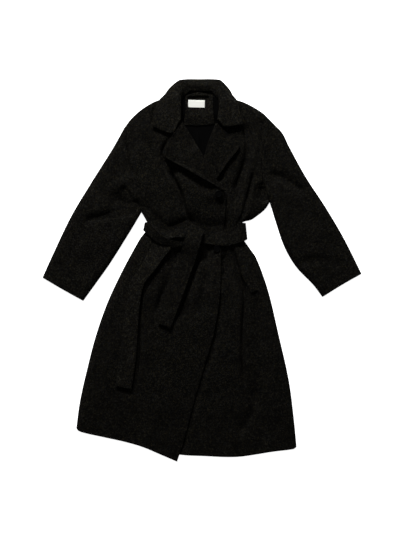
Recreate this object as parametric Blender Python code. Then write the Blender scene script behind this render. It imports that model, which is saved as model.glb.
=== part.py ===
"""Belted wrap coat in felted wool, lying flat on its back with its fronts wrapped and its belt tied.

The coat lies in the XY plane: +Y points to the collar, -X to the wearer's right sleeve, and Z = 0 is the surface that
it rests on. The tables are in millimetres. A panel is its outline, cut up and raised to a height field with the
coat's folds in it. The lapels, collar and belt are laid over those fields. Each has its cloth's thickness.
"""

import bmesh
import bpy
import numpy as np

MM = 0.001

# Thickness of the cloths.
WOOL = 2.6
SLOPED_WOOL = 1.3 * WOOL  # the same along Z where the cloth slopes
DOUBLED = 4.6  # two layers of wool: collar and belt
LINING = 1.0
LABEL = 0.9
SEAM = 0.4  # gap between two sewn pieces
LAID = 0.8  # gap between a piece and what it lies on

# The height fields: where the face of the cloth is.
EDGE_TOP = WOOL + SEAM + 1.6  # at a side fold, just over the back panel
EDGE_ROUND = 24.0  # the cloth rises to its full loft over this distance from a side fold
NEAR = 14.0  # stiff cloth that lies on the coat bridges its folds over this distance
STEP = 3.5  # the outer front lies this much over the mean loft, and the inner one as much under it
COVERED_SINK = 3.0  # how much further the inner front sinks where the outer one covers it
COVERED = (-15.0, 0.0, 50.0)  # distance inside the outer front's free edge: start to give way, sink, full sink
OUTER_REACH = -4.0  # what lies on the coat follows the outer front to this distance from its free edge
LEAST_LOFT = 2.0  # a fold's trough leaves at least this much over the side fold's height
BELT_LINE = ((-180, 135), (-60, 95), (20, 98), (135, 122))  # where the belt presses the folds flat
BELT_PRESS = (14, 40)  # from the first distance to the second, the folds return

# The belt and the collar go round under the back and lift it: x and y where the lift starts, is full, and ends.
LIFT = DOUBLED + LAID
LIFTS = (
    ((-336, -252, 168, 252), (60, 90, 180, 210)),
    ((-252, -168, 168, 252), (450, 480, 600, 630)),
)

# ------------------------------------------------------------------ outlines: x, y
# The wearer's right is at -X. Edges run from the hem up, or from the shoulder to the cuff.
RIGHT_SIDE = (
    (-387, -487), (-375, -403), (-355, -313), (-327, -205), (-291, -99), (-242, 5),
    (-193, 96), (-178, 104), (-163, 112), (-159, 130), (-160, 152), (-171, 163), (-187, 179),
)
RIGHT_ARMHOLE = ((-187, 179), (-205, 225), (-216, 271), (-223, 324), (-230, 380), (-241, 439))
RIGHT_SHOULDER = (
    (-241, 439), (-220, 467), (-187, 497), (-153, 518), (-128, 528), (-110, 531), (-92, 535), (-72, 539),
)
LEFT_SIDE = (
    (291, -545), (282, -461), (265, -338), (233, -199), (201, -61), (166, 38), (148, 66),
    (131, 91), (124, 106), (122, 130), (123, 151), (134, 157), (150, 160), (167, 168), (196, 190), (209, 211),
)
LEFT_ARMHOLE = ((209, 211), (199, 238), (188, 285), (185, 342), (194, 398), (221, 453))
LEFT_SHOULDER = ((221, 453), (190, 484), (158, 505), (130, 519), (112, 525), (98, 528), (80, 534), (60, 539))
BACK_NECK = ((-72, 539), (-52, 545), (-6, 548), (40, 545), (60, 539))
OUTER_NECK = ((-73, 472), (-74, 505), (-72, 539))
INNER_NECK = ((60, 472), (62, 505), (60, 539))

OUTER_HEM = ((-387, -487), (-377, -497), (-306, -514), (-242, -528), (-183, -545), (-124, -570), (-77, -590))
OUTER_EDGE = (
    (-77, -590), (-59, -535), (-25, -407), (14, -273), (40, -179), (57, -60), (59, 60),
    (66, 125), (73, 187), (74, 232),
)
OUTER_ROLL = ((72, 246), (38, 291), (4, 354), (-31, 412), (-60, 459))
OUTER_LAPEL = ((57, 250), (46, 259), (-10, 291), (-66, 323), (-109, 347), (-114, 364), (-91, 416))
INNER_HEM = (
    (-150, -530), (-100, -562), (-58, -570), (8, -573), (68, -576), (117, -575), (167, -568),
    (216, -560), (284, -551), (291, -545),
)
INNER_EDGE = ((-150, -530), (-120, -401), (-85, -246), (-66, -91), (-56, 32), (-40, 172), (-22, 262))
INNER_ROLL = ((-16, 270), (-4, 310), (7, 354), (18, 395), (32, 430), (42, 455))
INNER_LAPEL = ((4, 262), (24, 264), (44, 284), (80, 335), (114, 378), (115, 388), (64, 437))
BACK_HEM = ((-385, -485), (-300, -506), (-190, -534), (-60, -552), (70, -558), (190, -553), (289, -543))
RIGHT_CUFF = ((-493, -22), (-430, -59), (-367, -94))
LEFT_CUFF = ((373, -79), (433, -44), (493, -10))
RIGHT_CUFF_OUTER = ((-243, 438), (-277, 375), (-343, 270), (-405, 166), (-462, 47), (-493, -22))
RIGHT_CUFF_INNER = ((-189, 177), (-229, 109), (-286, 19), (-325, -36), (-367, -94))
LEFT_CUFF_OUTER = ((223, 452), (247, 424), (266, 384), (318, 289), (380, 194), (437, 99), (493, -10))
LEFT_CUFF_INNER = ((211, 209), (228, 156), (257, 76), (293, 15), (347, -43), (373, -79))

# Loft of the body up its length, and of a sleeve from armhole to cuff.
BODY_LOFT = (
    (-600, 13), (-480, 17), (-250, 23), (-60, 24), (60, 22), (125, 20), (200, 22), (300, 21), (400, 18), (550, 15),
)
SLEEVE_LOFT = ((0, 18), (0.3, 20), (0.65, 18), (1, 14))
SLEEVE_AXES = {"right": ((-430, -58), (-215, 310)), "left": ((433, -44), (200, 330))}  # cuff's and cap's centre
SLEEVE_BLEND = 110.0  # the body's loft turns into the sleeve's over this distance from the armhole
CAP_BLEND = 60.0  # the sleeve's loft turns into the armhole's over this distance

# Folds: the layer they are in, height, width to the left of the path and to its right, path. Troughs are negative,
# and a ridge with one narrow side is a fold whose cloth leans over there.
FOLDS = (
    ("outer", 7.5, 40, 8, ((-115, 340), (-74, 265), (-55, 190), (-35, 144))),
    ("outer", 3.5, 18, 18, ((-186, 405), (-183, 300), (-165, 200))),
    ("outer", -5.0, 14, 14, ((-92, 60), (-112, -40), (-135, -150))),
    ("outer", -5.5, 14, 12, ((-10, 62), (-38, -60), (-72, -170))),
    ("outer", -5.0, 13, 13, ((30, 64), (15, -30), (-20, -150))),
    ("outer", 4.0, 28, 28, ((-205, -60), (-270, -240), (-315, -430))),
    ("outer", 3.5, 28, 28, ((-90, -220), (-108, -360), (-130, -500))),
    ("outer", 10.0, 52, 52, ((-30, 390), (4, 330), (38, 266), (66, 205))),
    ("inner", 3.0, 14, 14, ((102, 300), (93, 218), (87, 140))),
    ("inner", -5.5, 14, 14, ((135, 455), (144, 374), (118, 290), (95, 180))),
    ("inner", 5.5, 16, 8, ((166, 300), (148, 205), (118, 140))),
    ("inner", 7.0, 26, 8, ((98, 62), (118, -26), (133, -86), (130, -250), (135, -381))),
    ("inner", -5.5, 14, 14, ((164, -350), (160, -430), (107, -520))),
    ("inner", 5.5, 20, 20, ((172, -180), (214, -291), (226, -495))),
    ("inner", -5.0, 15, 15, ((64, -70), (45, -190), (16, -315))),
    ("both", -8.5, 14, 11, ((-252, 258), (-218, 220), (-196, 172))),
    ("both", -6.5, 15, 11, ((-369, 156), (-300, 166), (-205, 195))),
    ("both", 4.0, 15, 15, ((-285, 240), (-245, 272), (-205, 300))),
    ("both", -5.5, 13, 13, ((197, 300), (254, 287), (320, 234))),
    ("both", -4.0, 14, 14, ((287, 21), (370, 33), (451, 12))),
    ("both", -7.0, 10, 10, ((184, 262), (189, 234), (197, 205))),
)
FOLD_FADE = 0.25  # share of a fold's length over which it fades in, and out

# Belt: x and y of one edge, x and y of the other, whether it lies on the coat (1) or goes by the surface (0), and the
# height of its face above that. The waist stretches run from the knot to a side fold and round it under the coat.
ON = DOUBLED + LAID
OVER_ONE = 2 * ON
OVER_TWO = 3 * ON
UNDER_FOLD = LAID + 0.2
BELT = {
    "belt_right_stretch": (
        (-46, 84, -43, 102, 1, OVER_ONE), (-74, 79, -72, 93, 1, OVER_ONE), (-98, 78, -104, 94, 1, OVER_ONE),
        (-126, 81, -128, 113, 1, OVER_ONE), (-148, 93, -147, 135, 1, OVER_ONE + 0.5), (-162, 106, -160, 144, 0, 29),
        (-176, 119, -171, 146, 0, 23), (-182, 124, -177, 148, 0, 13), (-178, 124, -173, 149, 0, 2),
        (-160, 118, -158, 152, 0, 0), (-131, 109, -131, 155, 0, 0),
    ),
    "belt_left_stretch": (
        (-38, 83, -34, 108, 1, ON), (0, 84, 6, 108, 1, ON), (42, 79, 43, 117, 1, ON), (72, 76, 74, 126, 1, ON),
        (100, 82, 103, 135, 1, ON), (119, 87, 118, 141, 0, 28), (133, 92, 129, 144, 0, 23), (140, 97, 135, 146, 0, 13),
        (136, 100, 131, 147, 0, 2), (118, 103, 115, 149, 0, 0), (83, 105, 83, 152, 0, 0),
    ),
    "belt_back": ((-130, 109, -130, 155, 0, 0), (-20, 107, -20, 153, 0, 0), (82, 105, 82, 152, 0, 0)),
    "belt_long_end": (
        (-43, 132, -55, 97, 1, ON), (-80, 121, -84, 89, 1, ON), (-114, 107, -100, 81, 1, ON),
        (-149, 85, -97, 67, 1, ON), (-172, 44, -118, 40, 1, ON + 1), (-196, 2, -142, 6, 1, ON + 4),
        (-222, -38, -178, -42, 1, ON + 4), (-232, -101, -192, -110, 1, ON + 1), (-243, -170, -198, -189, 1, ON),
        (-256, -280, -204, -272, 1, ON), (-265, -357, -217, -366, 1, ON),
    ),
    "belt_short_end": (
        (-37, 126, 0, 114, 1, UNDER_FOLD), (-35, 134, 3, 119, 1, UNDER_FOLD), (-32, 145, 8, 124, 1, OVER_TWO / 2),
        (-36, 138, 5, 117, 1, OVER_TWO), (-46, 120, 1, 104, 1, OVER_TWO + 1), (-58, 80, -8, 74, 1, OVER_TWO),
        (-69, 42, -20, 34, 1, OVER_ONE), (-84, -5, -37, -14, 1, ON), (-108, -82, -64, -89, 1, ON),
        (-135, -163, -97, -177, 1, ON),
    ),
}

# Collar, from its front end to the centre back: height of the section's points over the surface, and their places out
# from the collar's middle and along Y. Seam at the neck, top of the roll, its outside, its far side, fall, free edge.
COLLAR_MIDDLE = -6.0
COLLAR = (
    ((48, 462, 14), (54, 465, 24), (60, 465, 29.5), (66, 457, 30.5), (87, 425, 28), (146, 445, 29)),
    ((48, 500, 14), (56, 506, 24), (63, 509, 29), (72, 508, 30), (100, 500, 27.5), (135, 488, 28)),
    ((47, 528, 14), (56, 537, 22), (62, 544, 26), (72, 546, 26), (98, 541, 24), (127, 524, 23.5)),
    ((41, 547, 14), (50, 566, 19), (58, 581, 21), (69, 583, 18), (97, 561, 11), (109, 541, 10)),
    ((34, 554, 14), (44, 572, 18), (54, 588, 17), (64, 587, 8), (92, 557, 1), (104, 531, 0)),
    ((22, 555, 14), (31, 575, 18), (41, 591, 9), (50, 580, 0), (72, 551, 0), (86, 503, 0)),
    ((0, 554, 14), (0, 575, 18), (0, 591, 9), (0, 580, 0), (0, 547, 0), (0, 498, 0)),
)
# Sections that are otherwise on the wearer's left.
COLLAR_LEFT = {
    0: ((46, 461, 14), (50, 464, 24), (55, 465, 29.5), (61, 459, 30.5), (74, 445, 28), (133, 451, 28.5)),
    1: ((48, 500, 14), (56, 506, 24), (63, 509, 29), (72, 508, 30), (94, 500, 27.5), (123, 488, 28)),
    2: ((47, 528, 14), (56, 537, 22), (62, 544, 26), (72, 546, 26), (93, 541, 24), (114, 524, 23.5)),
    3: ((41, 547, 14), (50, 566, 19), (58, 580, 21), (69, 579, 18), (92, 555, 11), (103, 538, 10)),
}

# Inside the neck.
NECK_FACING = (
    ((-58, 450), (-12, 447), (42, 452)), ((42, 452), (38, 470), (35, 500), (35, 540)),
    ((35, 540), (-6, 544), (-47, 540)), ((-47, 540), (-47, 500), (-52, 470), (-58, 450)),
)
NECK_LINING = ((-28, 318), (34, 318), (52, 444), (-12, 444), (-66, 444))
LABEL_SIZE = (54.0, 27.0)
LABEL_CENTRE = (-16.0, 519.0)
LOOP = ((-45, 539, 0.3), (-38, 541, 3), (-12, 547, 5), (14, 542, 3), (21, 540, 0.3))  # x, y, height over the facing
LOOP_SIZE = (6.0, 2.4)

# Buttons: centre, and the profile of half a button as radius and height.
BUTTONS = ((54, 232), (47, 66))
BUTTON_PROFILE = ((0, 0), (10.5, 0), (12, 1.4), (12, 3.2), (11, 4.2), (9.6, 4.2), (8.6, 3.2), (0, 3.2))
# Pocket welts: the two ends of the opening's edge, and which side the welt is on.
WELTS = {"pocket_welt_left": ((110, 6), (152, -70), 1), "pocket_welt_right": ((-137, 8), (-179, -68), -1)}
WELT_WIDTH = 22.0
WELT_BRIDGES = 5.0  # a welt follows the coat's folds more closely than the belt does, and a button less
BUTTON_BRIDGES = 8.0

# How finely the pieces are divided.
PAPER = (18.0, 34.0)  # spacing of a panel's cuts across X and along Y
FLAT_PAPER = (84.0, 30.0)  # the same for the panels underneath
RIM_RINGS = (3.0, 8.0)  # widths of the rings inside a panel's outline
STEEPEST = 0.55  # upright share of the normal below which a panel's cloth gets no thicker along Z
OUTLINE_SPACING = 29.0
SHORTEST_STEP = 4.0  # outlines have no step shorter than this
LAPEL_ROWS = 16
LAPEL_STEPS = (1, 2, 2, 1, 1, 1)
COLLAR_STEPS = (3, 2, 2, 2, 2, 3, 3, 2, 2, 2, 2, 3)
COLLAR_STEPS_ACROSS = (1, 2, 2, 1, 2)
STRAP_STEPS = 2
SHARPEST_FOLD = 50.0  # degrees: an edge past this is shown sharp
BUTTON_SIDES = 18

# ------------------------------------------------------------------ arithmetic on tables


def smooth_line(points, count=120):
    """Points spread evenly by length along a smooth curve through the given ones."""
    return at_shares(spline(points, 12), np.linspace(0, 1, count))


def at_shares(line, shares):
    """The points at these shares of a line's length."""
    line = np.asarray(line, float)
    along = np.concatenate([[0], np.cumsum(np.linalg.norm(np.diff(line, axis=0), axis=1))])
    return np.stack([np.interp(shares, along / along[-1], line[:, k]) for k in range(line.shape[1])], axis=-1)


def spline(points, steps):
    """A smooth curve through the points along the first axis, with this many steps in each span between them."""
    p = np.array(points, float)
    p = np.concatenate([[2 * p[0] - p[1]], p, [2 * p[-1] - p[-2]]])
    spans = np.linalg.norm(np.diff(p, axis=0), axis=-1, keepdims=True) + 1e-9
    curve = [p[1:2]]
    for k, count in enumerate(np.broadcast_to(steps, len(points) - 1)):
        a, b = p[k + 1], p[k + 2]
        slope_a = (b - p[k]) * spans[k + 1] / (spans[k] + spans[k + 1])
        slope_b = (p[k + 3] - a) * spans[k + 1] / (spans[k + 1] + spans[k + 2])
        t = np.arange(1, count + 1).reshape(-1, *[1] * a.ndim) / count
        curve.append(
            (2 * t**3 - 3 * t**2 + 1) * a + (t**3 - 2 * t**2 + t) * slope_a
            + (3 * t**2 - 2 * t**3) * b + (t**3 - t**2) * slope_b
        )
    return np.concatenate(curve)


def smoothstep(value, low, high):
    t = np.clip((value - low) / (high - low), 0, 1)
    return t * t * (3 - 2 * t)


def from_path(path, x, y):
    """Distance of each place from a path, positive on its left, and its share of the path's length."""
    steps = np.diff(path, axis=0)
    lengths = np.linalg.norm(steps, axis=1)
    px = np.asarray(x, float)[..., None] - path[:-1, 0]
    py = np.asarray(y, float)[..., None] - path[:-1, 1]
    t = np.clip((px * steps[:, 0] + py * steps[:, 1]) / lengths**2, 0, 1)
    distances = np.hypot(px - t * steps[:, 0], py - t * steps[:, 1])
    lefts = steps[:, 0] * py - steps[:, 1] * px >= 0
    shares = (np.cumsum(lengths) - lengths + t * lengths) / lengths.sum()
    closest = np.argmin(distances, axis=-1)[..., None]
    everywhere = (distances, lefts, shares)
    distance, left, share = [np.take_along_axis(of_all, closest, -1)[..., 0] for of_all in everywhere]
    return np.where(left, distance, -distance), share


def nearest(lines, x, y):
    return np.min([np.abs(from_path(line, x, y)[0]) for line in lines], axis=0)


# ------------------------------------------------------------------ the height fields

FOLD_PATHS = [smooth_line(path, 16) for *_, path in FOLDS]
SIDE_FOLDS = [
    smooth_line(edge, 50)
    for edge in (
        RIGHT_CUFF_INNER, RIGHT_SIDE, RIGHT_CUFF_OUTER, RIGHT_SHOULDER,
        LEFT_CUFF_INNER, LEFT_SIDE, LEFT_CUFF_OUTER, LEFT_SHOULDER,
    )
]
ARMHOLES = [smooth_line(edge, 30) for edge in (RIGHT_ARMHOLE, LEFT_ARMHOLE)]
SLEEVE_SEAMS = {
    "right": np.subtract(RIGHT_ARMHOLE, (1.5 * SEAM, 0)),
    "left": np.add(LEFT_ARMHOLE, (1.5 * SEAM, 0)),
}
ROLL_RADIUS = (3 * WOOL + 2 * LAID) / 2 + 0.4  # half the height of a lapel's fold
FACING_LEG = 16.0  # how far the facing reaches back under its front
FACING_DROP = 2.4 * WOOL + LAID  # how far the facing's face lies under the front's there
NARROW_ROLL = 0.45  # where a lapel narrows to its end, its fold takes up this share of its width
LAPEL_STAND = ((0.5, 0.3), (0.78, 0.65), (1.0, 1.0))  # share of the way from roll to tip, and of the stand-off
STAND_FROM_END = 0.4  # the stand-off grows from a lapel's lower end over this share of its length
OUTER_NORMAL, INNER_NORMAL = (-0.864, -0.504), (0.954, -0.300)  # from each roll line towards its front
OUTER_FREE_EDGE = smooth_line(OUTER_EDGE + OUTER_ROLL, 90)
BELT_PATH = smooth_line(BELT_LINE, 30)


def lift(x, y):
    """How far the belt and the collar that go round under the back hold the coat off the surface."""
    total = np.zeros(np.shape(x))
    for across, up in LIFTS:
        total = np.maximum(total, np.interp(x, across, (0, 1, 1, 0)) * np.interp(y, up, (0, 1, 1, 0)))
    return LIFT * total


def folds(x, y, layer):
    """Height that the folds of one layer add. The belt presses them flat under it."""
    total = np.zeros(np.shape(x))
    for (where, height, left, right, _), path in zip(FOLDS, FOLD_PATHS):
        if where not in (layer, "both"):
            continue
        signed, share = from_path(path, x, y)
        width = np.where(signed > 0, left, right)
        fade = smoothstep(share, 0, FOLD_FADE) * smoothstep(1 - share, 0, FOLD_FADE)
        total = total + height * fade * np.exp(-((signed / width) ** 2))
    return total * smoothstep(np.abs(from_path(BELT_PATH, x, y)[0]), *BELT_PRESS)


def rounded(x, y, loft, layer):
    """Face of a layer of cloth: it rises from the side folds to its loft, with its folds on it."""
    x, y = np.asarray(x, float), np.asarray(y, float)
    low = EDGE_TOP + near(lift, x, y, np.max)
    full = loft + folds(x, y, layer)
    inward = 1 - np.clip(nearest(SIDE_FOLDS, x, y) / EDGE_ROUND, 0, 1)
    return low + np.maximum(full - low, LEAST_LOFT) * np.sqrt(1 - inward**2)


def body_loft(x, y):
    along = np.array(BODY_LOFT, float)
    loft = np.interp(y, along[:, 0], along[:, 1])
    return loft, smoothstep(nearest(ARMHOLES, x, y), 0, SLEEVE_BLEND)


def outer_face(x, y):
    loft, away = body_loft(x, y)
    return rounded(x, y, SLEEVE_LOFT[0][1] + (loft + STEP - SLEEVE_LOFT[0][1]) * away, "outer")


def inner_face(x, y):
    x, y = np.broadcast_arrays(np.asarray(x, float), np.asarray(y, float))
    loft, away = body_loft(x, y)
    face = rounded(x, y, SLEEVE_LOFT[0][1] + (loft - STEP - SLEEVE_LOFT[0][1]) * away, "inner")
    covered = from_path(OUTER_FREE_EDGE, x, y)[0]
    under = covered > COVERED[0]
    if under.any():
        sink = SLOPED_WOOL + LAID + COVERED_SINK * smoothstep(covered[under], *COVERED[1:])
        face[under] = np.minimum(face[under], near(outer_face, x[under], y[under], np.min) - sink)
    return face


def coat_face(x, y):
    """The face of the fronts: the outer one's where it is and a little beyond, and elsewhere the inner's."""
    x, y = np.broadcast_arrays(np.asarray(x, float), np.asarray(y, float))
    outer = from_path(OUTER_FREE_EDGE, x, y)[0] > OUTER_REACH
    face = np.zeros(x.shape)
    face[outer] = outer_face(x[outer], y[outer])
    face[~outer] = inner_face(x[~outer], y[~outer])
    return face


def near(face, x, y, pick, reach=NEAR):
    """The highest or lowest that a face gets round a place, because stiff cloth bridges what is under it."""
    turns = np.linspace(0, 2 * np.pi, 8, endpoint=False)
    offsets = [(0, 0), *zip(reach * np.cos(turns), reach * np.sin(turns))]
    return pick([face(x + dx, y + dy) for dx, dy in offsets], axis=0)


# ------------------------------------------------------------------ Blender objects


def start_collection(name):
    for old in list(bpy.data.objects):
        bpy.data.objects.remove(old)
    made = bpy.data.collections.new(name)
    bpy.context.scene.collection.children.link(made)
    return made


def material(name, colour, roughness=0.95):
    made = bpy.data.materials.new(name)
    made.use_nodes = True
    shader = made.node_tree.nodes["Principled BSDF"]
    shader.inputs["Base Color"].default_value = (*colour, 1)
    shader.inputs["Roughness"].default_value = roughness
    shader.inputs["Metallic"].default_value = 0.0
    return made


def finished(name, mesh, finish):
    """Makes an object of a bmesh in millimetres, with its origin in its middle, as a child of the coat."""
    corners = np.array([vertex.co for vertex in mesh.verts])
    middle = (corners.min(axis=0) + corners.max(axis=0)) / 2
    bmesh.ops.translate(mesh, verts=mesh.verts, vec=-middle)
    bmesh.ops.scale(mesh, verts=mesh.verts, vec=(MM, MM, MM))
    data = bpy.data.meshes.new(name)
    mesh.to_mesh(data)
    mesh.free()
    data.materials.append(finish)
    data.shade_smooth()
    data.set_sharp_from_angle(angle=np.radians(SHARPEST_FOLD))
    made = bpy.data.objects.new(name, data)
    made.location = middle * MM
    made.parent = coat
    collection.objects.link(made)


def cloth(name, points, thickness, finish, flip=False):
    """A sheet through rows and columns of points on its face, made solid under that, down to the surface."""
    points = np.asarray(points, float)
    rows, columns = points.shape[:2]
    sheet = bmesh.new()
    bmesh.ops.create_grid(sheet, x_segments=columns - 1, y_segments=rows - 1, size=1)
    for vertex in sheet.verts:
        column = round((vertex.co.x + 1) / 2 * (columns - 1))
        row = round((vertex.co.y + 1) / 2 * (rows - 1))
        vertex.co = points[row, column]
    if flip:
        bmesh.ops.reverse_faces(sheet, faces=sheet.faces)
    sheet.normal_update()
    bmesh.ops.solidify(sheet, geom=sheet.faces, thickness=thickness)
    for vertex in sheet.verts:
        vertex.co.z = max(vertex.co.z, 0)
    finished(name, sheet, finish)


def panel(name, edges, face, thickness, finish, floor, paper=PAPER, rings=RIM_RINGS):
    """A flat outline, cut up as by the lines of squared paper, raised to its face and extruded down from it."""
    sheet = bmesh.new()
    middle = sheet.faces.new([sheet.verts.new((x, y, 0)) for x, y in edges])
    for width in rings:
        bmesh.ops.inset_region(sheet, faces=[middle], thickness=width, use_boundary=True)
    low, high = edges.min(axis=0), edges.max(axis=0)
    for axis, spacing in enumerate(paper):
        direction = np.eye(3)[axis]
        for line in np.arange(np.ceil(low[axis] / spacing), high[axis] / spacing) * spacing:
            everything = [*sheet.verts, *sheet.edges, *sheet.faces]
            place = direction * line
            bmesh.ops.bisect_plane(sheet, geom=everything, dist=0.5, plane_co=place, plane_no=direction)
    bmesh.ops.remove_doubles(sheet, verts=sheet.verts, dist=0.2)
    bmesh.ops.triangulate(sheet, faces=sheet.faces)
    heights = face(*np.array([vertex.co for vertex in sheet.verts]).T[:2])
    for vertex, height in zip(sheet.verts, heights):
        vertex.co.z = height
    sheet.normal_update()
    underside = sheet.verts.layers.float.new("underside")
    lowest = floor(*np.array([vertex.co for vertex in sheet.verts]).T[:2])
    for vertex, height in zip(sheet.verts, lowest):
        vertex[underside] = max(vertex.co.z - thickness / max(abs(vertex.normal.z), STEEPEST), height)
    extruded = bmesh.ops.extrude_face_region(sheet, geom=[*sheet.verts, *sheet.edges, *sheet.faces])
    for vertex in extruded["geom"]:
        if isinstance(vertex, bmesh.types.BMVert):
            vertex.co.z = vertex[underside]
    bmesh.ops.recalc_face_normals(sheet, faces=sheet.faces)
    finished(name, sheet, finish)


def outline(*edges):
    """One closed outline of several smooth edges, each given from where the last one ended or near it."""
    points = []
    for edge in edges:
        length = np.linalg.norm(np.diff(spline(edge, 4), axis=0), axis=1).sum()
        points += list(smooth_line(edge, int(np.ceil(length / OUTLINE_SPACING)) + 1))
    points = np.array(points)
    steps = np.linalg.norm(points - np.roll(points, -1, axis=0), axis=1)
    return points[steps > SHORTEST_STEP]


def inset(roll, normal):
    """The line of a front's edge inside the fold of its lapel."""
    return np.array(roll, float) + np.array(normal) * ROLL_RADIUS


# ------------------------------------------------------------------ the pieces


def surface(x, y):
    return 0 * x


def over_back(x, y):
    return near(lift, x, y, np.max) + WOOL + SEAM


def on_back(height):
    return lambda x, y: lift(x, y) + WOOL + LAID + height


def back_panel():
    edges = outline(
        BACK_HEM, LEFT_SIDE, LEFT_ARMHOLE, LEFT_SHOULDER, BACK_NECK[::-1],
        RIGHT_SHOULDER[::-1], RIGHT_ARMHOLE[::-1], RIGHT_SIDE[::-1],
    )
    panel("back", edges, lambda x, y: lift(x, y) + WOOL, WOOL, wool, lift, FLAT_PAPER, ())


def fronts():
    """The outer front, on the wearer's right, and the inner one. Their neck edges lie inside the lapels' folds."""
    edges = outline(
        OUTER_HEM, OUTER_EDGE, inset(OUTER_ROLL, OUTER_NORMAL), OUTER_NECK,
        RIGHT_SHOULDER[::-1], RIGHT_ARMHOLE[::-1], RIGHT_SIDE[::-1],
    )
    panel("front_right", edges, outer_face, WOOL, wool, over_back)
    edges = outline(
        INNER_HEM, LEFT_SIDE, LEFT_ARMHOLE, LEFT_SHOULDER, INNER_NECK[::-1],
        inset(INNER_ROLL, INNER_NORMAL)[::-1], INNER_EDGE[::-1],
    )
    panel("front_left", edges, inner_face, WOOL, wool, over_back)


def sleeve(side, edges):
    """Top and under sleeve: two sheets that meet along the sleeve's folds."""
    table, cuff_centre, cap_centre = np.array(SLEEVE_LOFT), *SLEEVE_AXES[side]
    axis = np.subtract(cuff_centre, cap_centre)

    def face(x, y):
        share = ((x - cap_centre[0]) * axis[0] + (y - cap_centre[1]) * axis[1]) / (axis @ axis)
        loft = np.interp(share, table[:, 0], table[:, 1])
        seam_loft = SLEEVE_LOFT[0][1]
        from_seam = smoothstep(nearest(ARMHOLES, x, y), 0, CAP_BLEND)
        return rounded(x, y, seam_loft + (loft - seam_loft) * from_seam, "both")

    def under_face(x, y):
        return lift(x, y) + WOOL

    panel(f"top_sleeve_{side}", outline(*edges), face, WOOL, wool, over_back)
    panel(f"under_sleeve_{side}", outline(*edges), under_face, WOOL, wool, lift, FLAT_PAPER, ())


def lapel(name, roll, tip, normal, face, stand_off, flip):
    """A facing that folds round a front's edge along its roll line and shows as the lapel."""
    roll_line, tip_line = smooth_line(roll, LAPEL_ROWS), smooth_line(tip, LAPEL_ROWS)
    out = tip_line - roll_line
    width = np.linalg.norm(out, axis=1, keepdims=True)
    start = np.minimum(ROLL_RADIUS, NARROW_ROLL * width)
    plans = [roll_line + np.array(normal) * reach for reach in (FACING_LEG, ROLL_RADIUS, 0)]
    plans += [roll_line + out / width * start]
    plans += [roll_line + out * share for share, _ in LAPEL_STAND]
    under = [near(face, *plan.T, np.min) - FACING_DROP for plan in plans[:3]]
    over = [near(face, *plan.T, np.max) + LAID + WOOL for plan in plans]
    rise = stand_off * smoothstep(np.linspace(0, 1, LAPEL_ROWS), 0, STAND_FROM_END)
    rises = [over[3], *[height + share * rise for height, (_, share) in zip(over[4:], LAPEL_STAND)]]
    heights = [under[0], under[1], (under[2] + over[2]) / 2, *rises]
    sections = np.array([np.column_stack(pair) for pair in zip(plans, heights)])
    cloth(name, spline(sections, LAPEL_STEPS).transpose(1, 0, 2), WOOL, wool, flip=flip)


def collar():
    right = np.array(COLLAR, float)
    left = np.array([COLLAR_LEFT.get(k, row) for k, row in enumerate(COLLAR)], float)
    right[..., 0] *= -1
    sections = np.concatenate([right, left[-2::-1]])
    sections[..., 0] += COLLAR_MIDDLE
    rows = spline(sections, COLLAR_STEPS)
    points = spline(rows.transpose(1, 0, 2), COLLAR_STEPS_ACROSS).transpose(1, 0, 2)
    cloth("collar", points, DOUBLED, wool, flip=True)


def strap(name, table):
    """A stretch of the belt between two edges."""
    rows = spline(table, STRAP_STEPS)
    across = np.linspace(0, 1, 3)[None, :, None]
    plan = rows[:, None, 0:2] * (1 - across) + rows[:, None, 2:4] * across
    height = rows[:, None, 4] * near(coat_face, plan[..., 0], plan[..., 1], np.max) + rows[:, None, 5]
    top = min(int(np.argmax(height[:, 0])), len(plan) - 2)
    (ax, ay), (bx, by) = plan[top, -1] - plan[top, 0], plan[top + 1, 0] - plan[top, 0]
    face_up = height[top, 0] > DOUBLED
    cloth(name, np.dstack([plan, height]), DOUBLED, wool, flip=(ax * by - ay * bx < 0) == face_up)


def neck():
    """What shows inside the neck: the back's facing with its label and hanger loop, and the lining under it."""
    panel("back_neck_facing", outline(*NECK_FACING), on_back(WOOL), WOOL, wool, surface, FLAT_PAPER, ())
    panel("back_lining", np.array(NECK_LINING, float), on_back(LINING), LINING, lining, surface, FLAT_PAPER, ())
    corners = LABEL_CENTRE + np.array(LABEL_SIZE) / 2 * np.array(((-1, -1), (1, -1), (1, 1), (-1, 1)))
    panel("label", corners, on_back(WOOL + SEAM + LABEL), LABEL, white_tape, surface, FLAT_PAPER, ())
    route = spline(LOOP, 4)
    half_width = np.array([0, LOOP_SIZE[0] / 2, 0])
    points = np.stack([route - half_width, route + half_width], axis=1)
    points[..., 2] += on_back(WOOL)(points[..., 0], points[..., 1]) + LOOP_SIZE[1]
    cloth("hanger_loop", points, LOOP_SIZE[1], wool, flip=True)


def button(number, x, y):
    """A button turned from its profile."""
    mesh = bmesh.new()
    profile = [mesh.verts.new((radius, 0, height)) for radius, height in BUTTON_PROFILE]
    edges = [mesh.edges.new(pair) for pair in zip(profile, profile[1:])]
    bmesh.ops.spin(
        mesh, geom=profile + edges, cent=(0, 0, 0), axis=(0, 0, 1),
        angle=2 * np.pi, steps=BUTTON_SIDES, use_merge=True,
    )
    bmesh.ops.remove_doubles(mesh, verts=mesh.verts, dist=1e-3)
    bmesh.ops.recalc_face_normals(mesh, faces=mesh.faces)
    seat = float(near(coat_face, np.array([x]), np.array([y]), np.max, BUTTON_BRIDGES)[0]) + SEAM
    bmesh.ops.translate(mesh, verts=mesh.verts, vec=(x, y, seat))
    finished(f"button_{number}", mesh, horn)


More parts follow.
